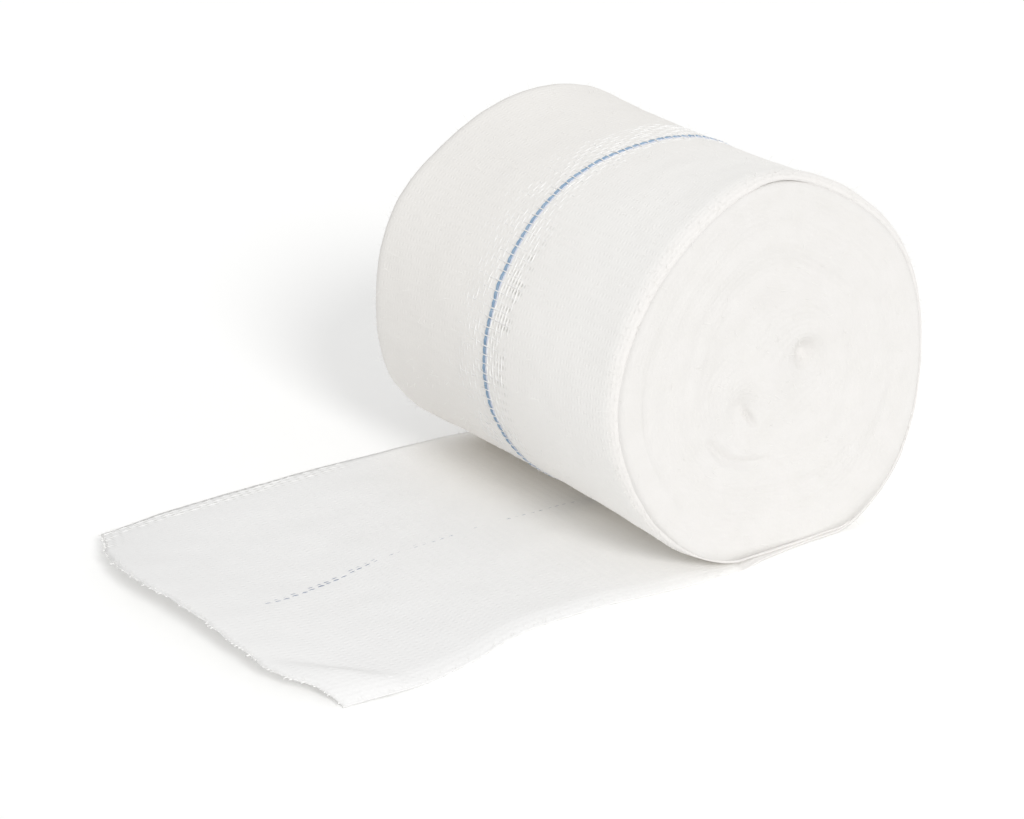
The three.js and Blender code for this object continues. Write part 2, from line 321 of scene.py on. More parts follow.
def arc_depth(arc, radius, angle):
    """Depth of a fold along the turns at a place on an end of the roll."""
    half = (arc["end"] - arc["start"]) / 2
    off_middle = degrees_from(angle, arc["start"] + half)
    share = 0.5 + 0.5 * min(max(off_middle / half, -1), 1)
    off_it = radius - arc["inner"] - (arc["outer"] - arc["inner"]) * share
    present = fade(abs(off_middle), half + 7, half - 7)
    return arc["depth"] * soft_fall(off_it, arc["width"]) * present


def end_depth(radius, angle, side):
    """Depth of an end of the roll below the plane of the strip's edges."""
    x = radius * math.cos(angle)
    z = radius * math.sin(angle)
    winding = winding_share(angle)
    wander = 0.3 * uneven(3 + side, x * 0.05, z * 0.05)
    depth = 0.3 + 0.3 * uneven(5 + side, x * 0.06, z * 0.06)
    depth *= fade(radius, FACE_RADIUS, FACE_RADIUS - 6)
    outside = fade(radius, MAIN_TWIST_START - 2, MAIN_TWIST_START + 2)
    main_phase = (radius - MAIN_TWIST_START) / MAIN_TWIST_PITCH - winding + wander
    twisted = outside * fade(radius, FACE_RADIUS, FACE_RADIUS - 5)
    depth += MAIN_TWIST_DEPTH * (1 - math.cos(TURN * main_phase)) * twisted
    core = fade(radius, CORE_RADIUS + 2, CORE_RADIUS - 4)
    depth += CORE_DEPTH * core
    distances = [math.hypot(x - eye["x"], z - eye["z"]) for eye in EYES]
    for eye, distance in zip(EYES, distances):
        depth += eye["depth"] * soft_fall(distance, eye["width"])
    depth += fold_depth(SLIT, x, z) + fold_depth(BAR, x, z)
    for arc in ARCS:
        depth += arc_depth(arc, radius, angle)
    # The turns follow the eyes near the middle, and become a plain spiral further out.
    round_eyes = math.sqrt(distances[0] * distances[1])
    turn_radius = radius + (round_eyes - radius) * core
    fine_phase = turn_radius / TURN_PITCH - winding * (1 - core) + 2 * wander
    strength = 0.6 + 0.8 * uneven(7, x * 0.12, z * 0.12, side)
    groove = TURN_GROOVE * max(strength, 0) * fade(radius, 0, 2)
    depth += groove * (1 + math.cos(TURN * fine_phase))
    return max(depth, 0.0)


def turns_rows():
    """The rows of the wound turns' surface from the near end's middle round to the far end's:
    each has a side, and the radius of a face row, the turn of a rim row or the Y of a skin row."""
    face = [dict(kind="face", radius=FACE_STEP * i) for i in range(int(FACE_RADIUS / FACE_STEP) + 1)]
    rim = [dict(kind="rim", turn=(1 - i / RIM_ROWS) * TURN / 4) for i in range(1, RIM_ROWS + 1)]
    near = [dict(row, side=-1) for row in face + rim]
    far = [dict(row, side=1) for row in reversed(face + rim)]
    skin = [
        dict(kind="skin", y=FLAT_HALF * (2 * i / SKIN_ROWS - 1), side=0) for i in range(1, SKIN_ROWS)
    ]
    return near + skin + far


def rim_press(angle, side):
    """How square the roll's weight presses a rim: 1 along the bottom of the near end."""
    off = abs(degrees_from(angle, PRESSED_RIM["angle"]))
    return fade(off, PRESSED_RIM["ends"], PRESSED_RIM["fully"]) * (side < 0)


def inset_under_plies(angle):
    """How far the wound turns lie inside the roll's outline."""
    return ONE_PLY_INSET + SECOND_PLY_INSET * fade(abs(degrees_from(angle, 270)), 50, 28)


def turns_point(row, angle):
    side = row["side"]
    inset = inset_under_plies(angle)
    if row["kind"] != "skin":
        inset -= PRESSED_OUT * rim_press(angle, side)
    if row["kind"] == "skin":
        return roll_point(angle, skin_radius(angle, row["y"]) - inset, row["y"], TURNS_FLOOR)
    rim_centre = skin_radius(angle, side * HALF_WIDTH) - RIM_ROUNDING
    if row["kind"] == "face":
        depth = end_depth(row["radius"], angle, side)
        radius = row["radius"] / FACE_RADIUS * rim_centre
        return roll_point(angle, radius, side * (HALF_WIDTH - depth), TURNS_FLOOR)
    # A rim row turns from the skin, which lies under the plies, to the face and its depth.
    turn = row["turn"]
    bend = RIM_ROUNDING - inset * fade(math.degrees(turn), 78, 44)
    sunk = end_depth(FACE_RADIUS, angle, side) * fade(math.degrees(turn), 70, 90)
    roundness = 1 - PRESSED_SQUARE * rim_press(angle, side)
    y = side * (FLAT_HALF + bend * math.sin(turn) ** roundness - sunk)
    radius = skin_radius(angle, y) - RIM_ROUNDING + bend * max(math.cos(turn), 0) ** roundness
    return roll_point(angle, radius, y, TURNS_FLOOR)


def wound_gauze():
    """Bleached cotton gauze seen at the cut of its turns: matt, warm white and a little fuzzy. Its
    colour is painted darker for the shade between the turns' cut edges.
    """
    material, tree, shader = new_material("wound_cotton_gauze")
    place = add_node(tree, "ShaderNodeTexCoord").outputs["Object"]
    fibre = add_node(tree, "ShaderNodeTexNoise", Vector=place, Scale=2200.0, Detail=3.0)
    lumps = add_node(tree, "ShaderNodeTexNoise", Vector=place, Scale=260.0, Detail=2.0)
    relief = add_node(
        tree,
        "ShaderNodeMath",
        {"operation": "MULTIPLY_ADD"},
        _0=lumps.outputs["Fac"],
        _1=0.8,
        _2=fibre.outputs["Fac"],
    )
    bump = add_node(
        tree, "ShaderNodeBump", Height=relief.outputs["Value"], Strength=0.3, Distance=0.0002
    )
    tint = add_node(
        tree,
        "ShaderNodeMix",
        {"data_type": "RGBA"},
        _0=lumps.outputs["Fac"],
        _6=linear(END_SHADES[0]),
        _7=linear(END_SHADES[1]),
    )
    tree.links.new(tint.outputs[2], shader.inputs["Base Color"])
    tree.links.new(bump.outputs["Normal"], shader.inputs["Normal"])
    shader.inputs["Roughness"].default_value = 0.95
    shader.inputs["Specular IOR Level"].default_value = 0.1
    return material


def mesh_from_grid(name, columns, rows, place_of, close=False):
    """A mesh of a grid of columns by rows, with each corner moved to where place_of puts it, in mm.
    A closed one has its seam and its poles merged."""
    bm = bmesh.new()
    bmesh.ops.create_grid(bm, x_segments=columns, y_segments=rows, size=1)
    for vert in bm.verts:
        column = round((vert.co.x + 1) / 2 * columns)
        row = round((vert.co.y + 1) / 2 * rows)
        vert.co = place_of(column, row) * MM
    if close:
        bmesh.ops.remove_doubles(bm, verts=bm.verts, dist=1e-6)
        bmesh.ops.dissolve_degenerate(bm, edges=bm.edges, dist=1e-7)
    bmesh.ops.recalc_face_normals(bm, faces=bm.faces)
    for face in bm.faces:
        face.smooth = True
    mesh = bpy.data.meshes.new(name)
    bm.to_mesh(mesh)
    bm.free()
    return mesh


def gauze_piece(name, mesh_or_curve, material, *nodes):
    """A piece of the bandage that stands for those solids."""
    piece = object_of(name, mesh_or_curve, material)
    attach(piece, "root")
    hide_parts(*nodes)
    return piece


def make_wound_turns():
    rows = turns_rows()

    def place_of(column, row):
        angle = math.radians(FIRST_COLUMN_ANGLE) - TURN * (column % TURNS_COLUMNS) / TURNS_COLUMNS
        return turns_point(rows[row], angle)

    mesh = mesh_from_grid("wound_turns", TURNS_COLUMNS, len(rows) - 1, place_of, close=True)
    gauze_piece("wound_turns", mesh, wound_gauze(), "wound_roll")


make_wound_turns()


# The outer ply: the strip's loose end and outer turn, one sheet of the same gauze, as thick as its
# few layers. It comes off the table, in under the roll, up its right side, over the top and down its
# left side. Its edges curl over the rims, but are flat under the roll and proud in two places.
TURN_PLY = 0.5
LOOSE_PLY = 1.0
# Along the loose end: the places of its front and back edges, and how high its underside stands.
STATIONS = [
    dict(x=-9.5, front=-39.4, back=38.3, lift_front=0, lift_middle=0, lift_back=0),
    dict(x=-22, front=-38.5, back=38.5, lift_front=0, lift_middle=0.1, lift_back=0.2),
    dict(x=-36, front=-36.3, back=38.7, lift_front=0, lift_middle=0.4, lift_back=0.5),
    dict(x=-52, front=-36.3, back=38.8, lift_front=0, lift_middle=0.3, lift_back=0.8),
    dict(x=-65, front=-40.1, back=37.8, lift_front=0, lift_middle=0.9, lift_back=1.3),
    dict(x=-78, front=-41.9, back=36.6, lift_front=0, lift_middle=2.5, lift_back=1.6),
    dict(x=-90, front=-40.8, back=35, lift_front=0, lift_middle=4.4, lift_back=1.6),
]
# How far the cut edge bows out, by the share of the way from the front edge to the back edge.
CUT_EDGE = [
    dict(across=0, reach=-2.2),
    dict(across=0.07, reach=-0.3),
    dict(across=0.12, reach=2.3),
    dict(across=0.18, reach=4),
    dict(across=0.32, reach=4.8),
    dict(across=0.5, reach=5.9),
    dict(across=0.72, reach=7.6),
    dict(across=0.86, reach=5.8),
    dict(across=1, reach=2.1),
]
# Ridges, each with its width towards the strip's front edge and towards its back edge.
CREASES = [
    dict(name="corner fold", x=-84, y=-34, angle=-40, length=8, front=4.5, back=0.9, height=1),
    dict(name="middle swell", x=-58, y=-8, angle=75, length=20, front=7, back=7, height=0.7),
    dict(name="back swell", x=-44, y=24, angle=100, length=14, front=6, back=6, height=0.6),
]
CONTACT_ANGLE = 257
CONTACT_X = -9.5
LOOSE_LENGTH = 80.5
TURN_LENGTH = 233
TURN_RADIUS = 33.0
TAIL_ROWS = 84
TURN_ROWS = 200
PLY_COLUMNS = 66
RIM_REACH = 3.5
EDGE_PRESS = 0.2
# An edge that doesn't curl over the rim runs this share of its width straight out.
PROUD_REACH = 0.87
PROUD_EDGES = [
    dict(name="lower left", angle=205, spread=24, share=0.15),
    dict(name="top", angle=86, spread=11, share=0.25),
]
# The loose end's front edge stands out past the roll's, and the outer turn's starts out with it.
FRONT_RUN_OUT = dict(reach=1.9, length=17)
OPEN_BAND = dict(start=-6.8, widest=-5.2, end=-0.6, depth=0.08)
OPEN_SELVAGE = 3.2
WARP_PITCH = 0.85
WEFT_PITCH = 1.7


def along(rows, key, column, place):
    """The value of one column of a table at a place along its key column, with the ends held."""
    rising = rows[-1][key] > rows[0][key]
    i = 0
    while i < len(rows) - 2 and (rows[i + 1][key] < place) == rising:
        i += 1
    t = (place - rows[i][key]) / (rows[i + 1][key] - rows[i][key])
    before = rows[max(i - 1, 0)][column]
    after = rows[min(i + 2, len(rows) - 1)][column]
    return through_four(before, rows[i][column], rows[i + 1][column], after, min(max(t, 0), 1))


def crease_height(x, y):
    height = 0.0
    for crease in CREASES:
        turned = math.radians(crease["angle"])
        dx = x - crease["x"]
        dy = y - crease["y"]
        along_it = dx * math.cos(turned) + dy * math.sin(turned)
        off_it = dy * math.cos(turned) - dx * math.sin(turned)
        width = crease["back"] if off_it > 0 else crease["front"]
        height += crease["height"] * soft_fall(along_it, crease["length"]) * soft_fall(off_it, width)
    return height


def ply_thickness(length, across):
    """The cloth's thickness: more layers on the loose end, and thinner towards every edge."""
    if length > 0:
        edge = 0.4 + 0.5 * rim_press(math.radians(CONTACT_ANGLE) + length / TURN_RADIUS, across)
        return TURN_PLY * (edge + (1 - edge) * fade(FLAT_HALF + RIM_REACH - abs(across), 0, 2.5))
    inward = min(HALF_WIDTH - abs(across), LOOSE_LENGTH + length)
    layers = LOOSE_PLY + (TURN_PLY - LOOSE_PLY) * fade(length, -10, 0)
    return layers * (0.3 + 0.7 * fade(inward, 0, 3))


def loose_point(length, across, lift):
    """A point of the loose end: length in mm from the roll towards the cut edge, across in mm from
    the strip's middle towards its back edge, and lift above the cloth's upper side."""
    share = length / LOOSE_LENGTH
    station = CONTACT_X - length
    part = across / (2 * HALF_WIDTH) + 0.5
    front = along(STATIONS, "x", "front", station)
    back = along(STATIONS, "x", "back", station)
    reach = along(CUT_EDGE, "across", "reach", min(max(part, 0), 1))
    ragged = 0.3 * uneven(11, across * 0.2) + 0.25 * uneven(12, across * 1.3)
    x = station - (reach + ragged) * max(share, 0) ** 3
    y = front + part * (back - front)
    height = across_three(
        along(STATIONS, "x", "lift_front", station),
        along(STATIONS, "x", "lift_middle", station),
        along(STATIONS, "x", "lift_back", station),
        2 * part - 1,
    )
    height += crease_height(x, y) * min(max(share, 0), 1)
    height += 0.15 * uneven(13, x * 0.09, y * 0.09) * fade(share, 0, 0.25)
    layers = LOOSE_PLY + (TURN_PLY - LOOSE_PLY) * fade(length, 10, 0)
    layers *= 0.35 + 0.65 * fade(across, -HALF_WIDTH, 3 - HALF_WIDTH)
    return Vector((x, y, max(height, 0) + layers + lift))


def edge_curl(angle, side):
    """How much the strip's edge curls over the rim: 1 lies on it and 0 stands straight out."""
    curl = 1 - rim_press(angle, side)
    if side < 0:
        for edge in PROUD_EDGES:
            curl -= edge["share"] * soft_fall(degrees_from(angle, edge["angle"]), edge["spread"])
    return max(curl, 0.0)


def tucked(length):
    """How far the outer turn lies inside the roll's outline, to pass under its own beginning."""
    return SECOND_PLY_INSET * fade(length / (TURN * TURN_RADIUS), 0.6, 0.96)


def turn_point(length, across, lift):
    """A point of the outer turn: length in mm from the roll's contact with the table, across in mm
    from the strip's middle and round the rim, and lift above the cloth's outer side."""
    angle = math.radians(CONTACT_ANGLE) + length / TURN_RADIUS
    side = 1 if across > 0 else -1
    beyond = max(abs(across) - FLAT_HALF, 0)
    turn = beyond / RIM_ROUNDING
    curl = edge_curl(angle, side)
    # Below the roll the edge of the turn's end is pressed close to the edge of its beginning.
    closed = 0.2 * rim_press(angle, side) * beyond / RIM_REACH
    out = lift - tucked(length) * (1 - closed) - EDGE_PRESS * curl * fade(beyond, 1.2, 3.2)
    curled = (RIM_ROUNDING + out) * math.sin(turn)
    y = side * (min(abs(across), FLAT_HALF) + curled * curl + PROUD_REACH * beyond * (1 - curl))
    if side < 0:
        running_out = fade(length, FRONT_RUN_OUT["length"], 0)
        y -= FRONT_RUN_OUT["reach"] * running_out * beyond / RIM_REACH
    drop = (RIM_ROUNDING + out) * (1 - math.cos(turn)) * curl
    radius = skin_radius(angle, y) + out - drop + 0.12 * uneven(17, angle * 5, y * 0.12)
    floor = TURN_PLY + 0.05 if length < TURN * TURN_RADIUS * 0.8 else 2 * TURN_PLY + 0.1
    return roll_point(angle, radius, y, floor + min(lift, 0))


def ply_point(length, across, lift):
    """A point of the strip: length below 0 is on the loose end, and above 0 on the outer turn.
    The two stretches run into each other below the roll."""
    if length <= 0:
        return loose_point(-length, across, lift)
    if length < 6:
        return loose_point(-length, across, lift).lerp(
            turn_point(length, across, lift), fade(length, 0, 6)
        )
    return turn_point(length, across, lift)


def warp_wander(length, across):
    """How far the warp strays sideways, in mm: neighbours stray together."""
    return 0.3 * uneven(29, length * 0.03, across * 0.05)


def open_share(length, across):
    """How open the weave is, from 0 to 1: in a band beside the marker yarn, where it shows at the
    left of the roll, and along the back edge and the cut edge's back corner of the loose end."""
    if length > 0:
        start = OPEN_BAND["start"]
        end = OPEN_BAND["end"]
        band = fade(across, start, start + 1.5) * fade(across, end, end - 0.8)
        band *= 0.35 + 0.65 * soft_fall(across - OPEN_BAND["widest"], 1.5)
        angle = CONTACT_ANGLE + math.degrees(length / TURN_RADIUS)
        stretch = fade(angle, 480, 520) * (0.25 + 0.75 * fade(angle, 565, 525))
        patchy = fade(uneven(61, length * 0.45, across * 0.7), -0.62, 0.38)
        return band * stretch * patchy
    inner_edge = HALF_WIDTH - OPEN_SELVAGE
    selvage = fade(across, inner_edge - 0.7, inner_edge + 0.5) * fade(length, -26, -40)
    corner = fade(across, HALF_WIDTH - 11, HALF_WIDTH - 5)
    corner *= fade(length, 4 - LOOSE_LENGTH, 2 - LOOSE_LENGTH)
    patchy = fade(0.9 * uneven(67, length * 0.1, across * 0.3), -0.85, 0.15)
    return max(selvage, corner) * patchy * 0.45


def painted_light_share(length, across):
    """How far the cloth's colour moves along its ramp of painted light and shade: not at all on the
    flat loose end, more towards the roll, where warm bounce light is painted in, a little on the near
    half of the outer turn, which is painted lightest, and most on its far half, which is painted in
    shade."""
    return fade(length, -34, 16) * (0.25 + 0.55 * fade(across, -30, 20))


def rim_share(length, across):
    """How far a place of the outer turn has gone round the rim towards the roll's end."""
    return fade(abs(across), FLAT_HALF - 0.5, FLAT_HALF + RIM_REACH - 1) * (length > 0)


def weave_gaps(tree, strip):
    """A mask of the gaps between the yarns, from the strip's flat coordinates in cm."""
    flat = add_node(tree, "ShaderNodeSeparateXYZ", Vector=strip)
    mask = None
    for axis, pitch in (("X", WARP_PITCH), ("Y", WEFT_PITCH)):
        phase = add_node(
            tree,
            "ShaderNodeMath",
            {"operation": "MULTIPLY"},
            _0=flat.outputs[axis],
            _1=math.pi * 10 / pitch,
        )
        wave = add_node(tree, "ShaderNodeMath", {"operation": "SINE"}, _0=phase.outputs["Value"])
        square = add_node(
            tree,
            "ShaderNodeMath",
            {"operation": "MULTIPLY"},
            _0=wave.outputs["Value"],
            _1=wave.outputs["Value"],
        )
        if mask is not None:
            square = add_node(
                tree, "ShaderNodeMath", {"operation": "MULTIPLY"}, _0=square.outputs["Value"], _1=mask
            )
        mask = square.outputs["Value"]
    edge = add_node(
        tree,
        "ShaderNodeMapRange",
        {"interpolation_type": "SMOOTHSTEP"},
        Value=mask,
        From_Min=0.35,
        From_Max=0.75,
    )
    return edge.outputs["Result"]


def surface_gauze():
    """Bleached cotton gauze, several layers laid together: matt and soft, with its yarns on top.
    The bump is the weave of the layer below, at 0.85 by 1.7 mm, and its fibres."""
    material, tree, shader = new_material("cotton_gauze_ply")
    place = add_node(tree, "ShaderNodeTexCoord").outputs["Object"]
    strip = add_node(tree, "ShaderNodeUVMap", {"uv_map": "strip"}).outputs["UV"]
    fibre = add_node(tree, "ShaderNodeTexNoise", Vector=place, Scale=1800.0, Detail=3.0)
    warp = add_node(
        tree, "ShaderNodeTexWave", {"bands_direction": "X"}, Vector=strip, Scale=3.7, Distortion=3.0
    )
    weft = add_node(
        tree, "ShaderNodeTexWave", {"bands_direction": "Y"}, Vector=strip, Scale=1.85, Distortion=3.0
    )
    weave = add_node(
        tree, "ShaderNodeMath", {"operation": "MAXIMUM"}, _0=warp.outputs["Fac"], _1=weft.outputs["Fac"]
    )
    relief = add_node(
        tree,
        "ShaderNodeMath",
        {"operation": "MULTIPLY_ADD"},
        _0=weave.outputs["Value"],
        _1=0.7,
        _2=fibre.outputs["Fac"],
    )
    bump = add_node(
        tree, "ShaderNodeBump", Height=relief.outputs["Value"], Strength=0.4, Distance=0.00015
    )
    # The attribute loose carries painted light and shade. The ramp paints the cloth lighter towards the
    # roll and lightest on the near half of the outer turn, and darker and warmer on its far half.
    painted_light_attribute = add_node(tree, "ShaderNodeAttribute", {"attribute_name": "loose"})
    tint = add_node(tree, "ShaderNodeValToRGB", _0=painted_light_attribute.outputs["Fac"])
    ramp = tint.color_ramp.elements
    ramp[0].color = linear("EFEFEF")
    ramp[1].position = 0.8
    ramp[1].color = linear("EFEDEA")
    ramp.new(0.25).color = linear("F9F8F6")
    # Round the rims the outer ply takes the ends' colour, with its painted shade.
    rim = add_node(tree, "ShaderNodeAttribute", {"attribute_name": "rim"})
    rim_painted_shade = add_node(
        tree,
        "ShaderNodeMix",
        {"data_type": "RGBA"},
        _0=rim.outputs["Fac"],
        _6=tint.outputs["Color"],
        _7=linear(END_SHADES[1]),
    )
    # Where the weave is open, the gaps between the yarns are painted dark grey: painted shade of the
    # layers below and of the table, seen through the gaps.
    opening = add_node(tree, "ShaderNodeAttribute", {"attribute_name": "open"})
    gaps = weave_gaps(tree, strip)
    shown = add_node(
        tree, "ShaderNodeMath", {"operation": "MULTIPLY"}, _0=opening.outputs["Fac"], _1=gaps
    )
    painted_gap_shade = add_node(
        tree,
        "ShaderNodeMix",
        {"data_type": "RGBA"},
        _0=shown.outputs["Value"],
        _6=rim_painted_shade.outputs[2],
        _7=linear("BDBDB8"),
    )
    tree.links.new(painted_gap_shade.outputs[2], shader.inputs["Base Color"])
    tree.links.new(bump.outputs["Normal"], shader.inputs["Normal"])
    shader.inputs["Roughness"].default_value = 0.95
    shader.inputs["Specular IOR Level"].default_value = 0.1
    # A faint warm glow is painted in: the open cotton is never quite dark, for light comes through it
    # from the turns around it.
    shader.inputs["Emission Color"].default_value = linear("FFF6E4")
    shader.inputs["Emission Strength"].default_value = 0.035
    return material


def ply_place(column, row):
    """Length, across and lift of a corner of the sheet, whose first row is the cut edge."""
    part = 2 * column / PLY_COLUMNS - 1
    if row <= TAIL_ROWS:
        length = -LOOSE_LENGTH * (1 - row / TAIL_ROWS)
        half = HALF_WIDTH
    else:
        length = TURN_LENGTH * (row - TAIL_ROWS) / TURN_ROWS
        wrapped = fade(length, 0, 20)
        half = HALF_WIDTH + (FLAT_HALF + RIM_REACH - HALF_WIDTH) * wrapped
        half += 0.3 * uneven(19, length * 0.15, column // PLY_COLUMNS) * wrapped
    across = part * half
    lift = -ply_thickness(length, across) / 2 - OPEN_BAND["depth"] * open_share(length, across)
    return length, across, lift


def make_outer_ply():
    rows = TAIL_ROWS + TURN_ROWS
    mesh = mesh_from_grid(
        "outer_ply", PLY_COLUMNS, rows, lambda column, row: ply_point(*ply_place(column, row))
    )
    # The grid's corners keep their order: row by row, and column by column in a row.
    places = [
        ply_place(i % (PLY_COLUMNS + 1), i // (PLY_COLUMNS + 1)) for i in range(len(mesh.vertices))
    ]
    opening = mesh.attributes.new("open", "FLOAT", "POINT")
    rim = mesh.attributes.new("rim", "FLOAT", "POINT")
    # The attribute loose holds the share of painted light and shade in the cloth's colour.
    loose = mesh.attributes.new("loose", "FLOAT", "POINT")
    for i, (length, across, _) in enumerate(places):
        loose.data[i].value = painted_light_share(length, across)
        opening.data[i].value = open_share(length, across)
        rim.data[i].value = rim_share(length, across)
    flat = mesh.uv_layers.new(name="strip")
    for loop, uv in zip(mesh.loops, flat.uv):
        length, across, _ = places[loop.vertex_index]
        uv.vector = ((across - warp_wander(length, across)) / 10, length / 10)
    piece = gauze_piece("outer_ply", mesh, surface_gauze(), "wound_roll", "loose_end")
    layers = piece.vertex_groups.new(name="layers")
    for i, (length, across, _) in enumerate(places):
        layers.add([i], ply_thickness(length, across) / LOOSE_PLY, "REPLACE")
    thickness = piece.modifiers.new("cloth thickness", "SOLIDIFY")
    thickness.thickness = LOOSE_PLY * MM
    thickness.offset = 0
    thickness.vertex_group = "layers"


make_outer_ply()


# The yarns of the outer ply: thin soft cotton singles in an open plain weave. The warp runs along
# the strip, and the weft across it at twice the warp's spacing. They are drawn only where the
# cloth's outer side shows, and sink into it here and there as in gauze that has been pressed.
WARP_COUNT = 89
YARN_RADIUS = 0.13
YARN_SINK = 0.268
WEAVE_RISE = 0.06
RISE_OVER_MARKER = 0.3
YARNS_START = 14.0
YARNS_END = TURN * TURN_RADIUS - 2
# The marker yarn's place across the strip wanders over the top and down the left of the roll.
HIDDEN_MARKER_ACROSS = -0.6
MARKER_ACROSS = [
    dict(angle=430, across=-1.0),
    dict(angle=454, across=-0.2),
    dict(angle=481, across=0.5),
    dict(angle=502, across=0.5),
    dict(angle=516, across=0.4),
    dict(angle=526, across=-0.1),
    dict(angle=555, across=0.0),
    dict(angle=570, across=-0.4),
    dict(angle=579, across=-1.0),
]


def cotton_yarn(name, hex_dark, hex_pale):
    """Soft spun cotton: matt, and a little darker in places along the yarn."""
    material, tree, shader = new_material(name)
    place = add_node(tree, "ShaderNodeTexCoord").outputs["Object"]
    slubs = add_node(tree, "ShaderNodeTexNoise", Vector=place, Scale=900.0, Detail=2.0)
    tint = add_node(
        tree,
        "ShaderNodeMix",
        {"data_type": "RGBA"},
        _0=slubs.outputs["Fac"],
        _6=linear(hex_dark),
        _7=linear(hex_pale),
    )
    tree.links.new(tint.outputs[2], shader.inputs["Base Color"])
    shader.inputs["Roughness"].default_value = 0.9
    shader.inputs["Specular IOR Level"].default_value = 0.1
    return material


def yarn_curve(name, paths, radius):
    """A curve of round yarns along paths of (point in mm, share of the radius)."""
    curve = bpy.data.curves.new(name, "CURVE")
    curve.dimensions = "3D"
    curve.bevel_depth = radius * MM
    curve.bevel_resolution = 0
    for path in paths:
        spline = curve.splines.new("POLY")
        spline.points.add(len(path) - 1)
        for point, (place, share) in zip(spline.points, path):
            point.co = (*(place * MM), 1)
            point.radius = share
    return curve


def marker_across(length):
    angle = CONTACT_ANGLE + math.degrees(length / TURN_RADIUS)
    if angle < MARKER_ACROSS[0]["angle"]:
        return HIDDEN_MARKER_ACROSS
    return along(MARKER_ACROSS, "angle", "across", angle)


def warp_across(number, length):
    """Place of a warp yarn across the strip, in mm from its middle."""
    across = (number - (WARP_COUNT - 1) / 2) * WARP_PITCH
    across += 0.1 * uneven(23, length * 0.05, number * 0.7)
    return across + warp_wander(length, across)


def yarn_sink(length, across):
    """How far the yarns are sunk into the cloth: least in the open parts and beside the marker."""
    sink = YARN_SINK + 0.08 * uneven(31, length * 0.3, across * 0.35)
    if length > 0:
        sink -= 0.15 * soft_fall(across - 3.5, 7.5) + 0.08 * soft_fall(across + 2.5, 2.5)
    return sink * (1 - open_share(length, across)) + 0.12 * rim_share(length, across)


def warp_path(number, start, end):
    path = []
    steps = int((end - start) / (WEFT_PITCH / 2))
    thick = 0.9 + 0.25 * uneven(37, number * 3.1)
    for i in range(steps + 1):
        length = start + i * WEFT_PITCH / 2
        across = warp_across(number, length)
        rise = WEAVE_RISE * math.cos(math.pi * (length / WEFT_PITCH + number))
        opened = open_share(length, across)
        share = thick * (1 + 0.25 * uneven(41, length * 0.4, number * 2.3) + 0.15 * opened)
        lift = rise - yarn_sink(length, across) + 0.05
        path.append((ply_point(length, across, lift), max(share, 0.3)))
    return path


def weft_path(number, length, start, end):
    """A weft yarn across the strip from start to end, over and under the warp by turns."""
    path = []
    steps = int((end - start) / WARP_PITCH)
    thick = 0.9 + 0.25 * uneven(43, number * 3.7)
    for i in range(steps + 1):
        across = start + i * WARP_PITCH
        place = length + 0.35 * uneven(47, across * 0.08, number * 0.4) + 0.2 * uneven(49, number * 5.3)
        warp_number = round(across / WARP_PITCH + (WARP_COUNT - 1) / 2)
        rise = -WEAVE_RISE * math.cos(math.pi * (number + warp_number))
        near_marker = soft_fall(across - marker_across(length), 0.9) if length > 0 else 0
        rise += (RISE_OVER_MARKER - rise) * near_marker
        lift = rise - yarn_sink(place, across) + 0.05
        share = thick * (1 + 0.2 * uneven(53, across * 0.5, number * 1.9))
        path.append((ply_point(place, across, lift), max(share, 0.3)))
    return path


def make_outer_yarns():
    cotton = cotton_yarn("cotton_yarn", "F6F5F3", "FCFCFB")
    warp = [warp_path(number, YARNS_START, YARNS_END) for number in range(WARP_COUNT)]
    gauze_piece("outer_warp", yarn_curve("outer_warp", warp, YARN_RADIUS), cotton, "wound_roll")
    edge = FLAT_HALF + RIM_REACH
    weft = [
        weft_path(number, number * WEFT_PITCH, -edge, edge)
        for number in range(int(YARNS_START / WEFT_PITCH) + 1, int(YARNS_END / WEFT_PITCH))
    ]
    gauze_piece("outer_weft", yarn_curve("outer_weft", weft, YARN_RADIUS), cotton, "wound_roll")
    ends = random.Random(7)
    warp = [
        warp_path(number, -LOOSE_LENGTH + ends.uniform(-0.5, 0.3), 12.0) for number in range(WARP_COUNT)
    ]
    gauze_piece("loose_warp", yarn_curve("loose_warp", warp, YARN_RADIUS), cotton, "loose_end")
    weft = [
        weft_path(number, -number * WEFT_PITCH, -HALF_WIDTH, HALF_WIDTH)
        for number in range(-6, int(LOOSE_LENGTH / WEFT_PITCH) + 1)
    ]
    gauze_piece("loose_weft", yarn_curve("loose_weft", weft, YARN_RADIUS), cotton, "loose_end")


make_outer_yarns()


# The marker yarn: a thick blue cotton yarn of three strands laid in along the middle of the strip,
# under every weft, so that it shows as a row of blue dashes. A pale lilac yarn runs right beside it.
STRAND_RADIUS = 0.15
STRAND_SPACING = 0.2
STRAND_LIFT = 0.12


def strand_path(offset, start, end, lift):
    path = []
    steps = int((end - start) / (WEFT_PITCH / 4))
    for i in range(steps + 1):
        length = start + i * WEFT_PITCH / 4
        across = marker_across(length) + offset
        under = 0.5 + 0.5 * math.cos(TURN * length / WEFT_PITCH)
        share = 1 + 0.12 * uneven(59, length * 0.9, offset) - 0.15 * under
        path.append((ply_point(length, across, lift - 0.12 * under), share))
    return path


def make_marker():
    blue = cotton_yarn("blue_dyed_cotton_yarn", "7A9CBE", "B7CBDC")
    lilac = cotton_yarn("lilac_white_cotton_yarn", "CBD1E2", "DDE1EC")
    strands = [
        strand_path(k * STRAND_SPACING, YARNS_START, YARNS_END, STRAND_LIFT) for k in (-1, 0, 1)
    ]
    curve = yarn_curve("marker_yarn", strands, STRAND_RADIUS)
    gauze_piece("marker_yarn", curve, blue, "wound_roll")
    beside = [strand_path(-3 * STRAND_SPACING, YARNS_START, YARNS_END, STRAND_LIFT - 0.02)]
    curve = yarn_curve("marker_companion", beside, STRAND_RADIUS)
    gauze_piece("marker_companion", curve, lilac, "wound_roll")


make_marker()


